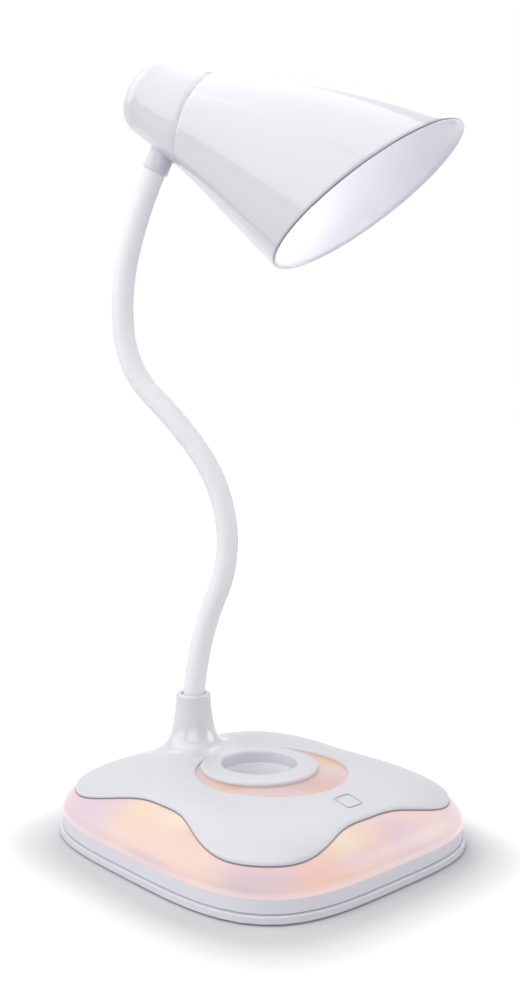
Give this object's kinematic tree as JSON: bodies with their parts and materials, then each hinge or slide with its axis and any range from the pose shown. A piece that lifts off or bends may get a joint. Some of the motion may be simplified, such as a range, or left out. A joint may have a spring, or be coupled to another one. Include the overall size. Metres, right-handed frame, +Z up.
{
  "type": "desk lamp with pen cup base",
  "caption": "White gooseneck desk lamp: a glowing rounded-square base with a pen cup and touch key, a bendable neck and a bell shade with a slanted mouth.",
  "frame": {"origin": "centre of the base on the desk top, under the feet", "axes": "+Z up; -Y is the front, where the touch mark is; +Y is the rear, where the neck stands and the charging socket opens; +X is the lamp's own left when it faces -Y, to the right for someone who sits in front of it"},
  "size_m": [0.1598, 0.1703, 0.3642],
  "materials": {
    "white_gloss": "polished",
    "white_satin": "satin",
    "band_white": "satin",
    "glow_shell": "translucent, lit from inside",
    "sleeve_white": "soft matte silicone",
    "cup_white": "satin",
    "lens_white": "opal, lit",
    "reflector_white": "gloss",
    "foot_rubber": "matte",
    "steel": "zinc plated",
    "board_green": "lacquered circuit board",
    "cell_wrap": "shrink wrap",
    "brass_nut": "turned",
    "copper": "copper foil",
    "plate_alu": "milled",
    "led_yellow": "diode packages, lit",
    "mark_grey": "printed line",
    "ballast_steel": "phosphated plate"
  },
  "bodies": {
    "base": {"bottom_cover": "white_gloss", "feet": "foot_rubber", "cover_screws": "steel", "ballast": "ballast_steel", "battery": "cell_wrap", "main_board": "board_green", "charge_board": "board_green", "charge_socket": "steel", "housing_band": "band_white", "glow_board": "board_green", "glow_leds": "led_yellow", "light_shell": "glow_shell", "top_panel": "white_satin", "pen_cup": "cup_white", "touch_electrode": "copper", "touch_mark": "mark_grey", "neck_stud": "brass_nut", "neck_washer": "steel", "neck_nut": "brass_nut", "neck_root": "sleeve_white", "core_root": "steel"},
    "neck_1": {"neck_link_1": "sleeve_white", "core_1": "steel"},
    "neck_2": {"neck_link_2": "sleeve_white", "core_2": "steel"},
    "neck_3": {"neck_link_3": "sleeve_white", "core_3": "steel"},
    "neck_4": {"neck_link_4": "sleeve_white", "core_4": "steel"},
    "neck_5": {"neck_link_5": "sleeve_white", "core_5": "steel"},
    "neck_6": {"neck_link_6": "sleeve_white", "core_6": "steel"},
    "head": {"neck_tip": "sleeve_white", "core_tip": "steel", "ferrule": "white_gloss", "head_nut": "brass_nut", "rear_cap": "white_gloss", "shade": "white_gloss", "lamp_plate": "plate_alu", "lamp_leds": "led_yellow", "reflector": "reflector_white", "lens": "lens_white", "plate_screws": "steel"}
  },
  "joints": [
    {"name": "root_bend", "type": "hinge", "parent": "base", "child": "neck_1", "pos_m": [0.00124, 0.04586, 0.07441], "axis": [0.8829, 0.4695, 0], "range_deg": [-20, 20]},
    {"name": "lower_sway", "type": "hinge", "parent": "neck_1", "child": "neck_2", "pos_m": [0.00601, 0.0369, 0.10803], "axis": [0.4309, -0.8103, -0.3971], "range_deg": [-20, 20]},
    {"name": "lower_back_bend", "type": "hinge", "parent": "neck_2", "child": "neck_3", "pos_m": [0.00823, 0.03272, 0.14257], "axis": [-0.8829, -0.4695, 0], "range_deg": [-20, 20]},
    {"name": "middle_back_bend", "type": "hinge", "parent": "neck_3", "child": "neck_4", "pos_m": [0.00191, 0.04461, 0.17599], "axis": [-0.8829, -0.4695, 0], "range_deg": [-20, 20]},
    {"name": "upper_sway", "type": "hinge", "parent": "neck_4", "child": "neck_5", "pos_m": [-0.00957, 0.06619, 0.20342], "axis": [0.3184, -0.5988, 0.7349], "range_deg": [-20, 20]},
    {"name": "upper_bend", "type": "hinge", "parent": "neck_5", "child": "neck_6", "pos_m": [-0.01705, 0.08027, 0.23547], "axis": [0.8829, 0.4695, 0], "range_deg": [-20, 20]},
    {"name": "head_bend", "type": "hinge", "parent": "neck_6", "child": "head", "pos_m": [-0.01531, 0.077, 0.27616], "axis": [0.8829, 0.4695, 0], "range_deg": [-20, 20]}
  ]
}
